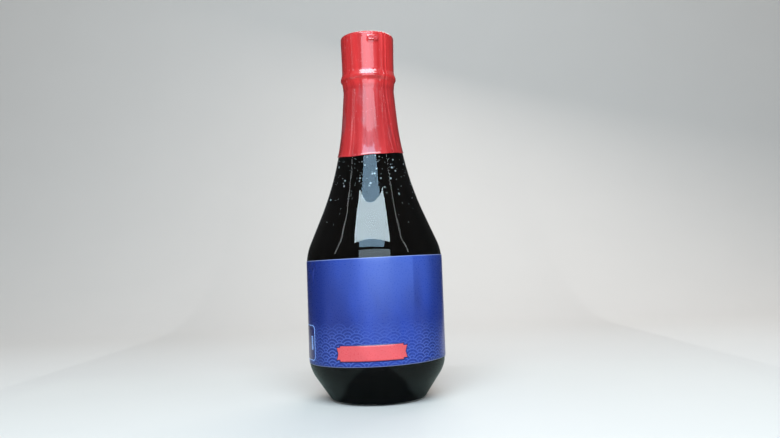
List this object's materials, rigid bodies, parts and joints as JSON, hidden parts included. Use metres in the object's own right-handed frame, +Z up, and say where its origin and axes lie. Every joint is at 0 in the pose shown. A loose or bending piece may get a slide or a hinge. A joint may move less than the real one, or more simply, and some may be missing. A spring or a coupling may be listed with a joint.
{
  "type": "soy sauce bottle",
  "caption": "Sealed clear bottle of dark soy sauce with a tapered foot, a sloping shoulder, a blue body label and a red cap under a red shrink film.",
  "frame": {"origin": "centre of the foot ring, on the plane the bottle stands on", "axes": "+Z up along the bottle's axis; the front of the label faces -Y; +X to the right of the front"},
  "size_m": [0.0662, 0.0662, 0.1772],
  "materials": {
    "clear_plastic": "clear glossy blow-moulded plastic",
    "soy_sauce": "near-black brown liquid",
    "red_plastic": "moulded red plastic",
    "red_film": "glossy shrink film with fine folds",
    "blue_label": "semi-gloss printed film label"
  },
  "bodies": {
    "root": {"bottle": "clear_plastic", "soy_sauce": "soy_sauce", "cap": "red_plastic", "neck_film": "red_film", "label": "blue_label"}
  },
  "joints": []
}
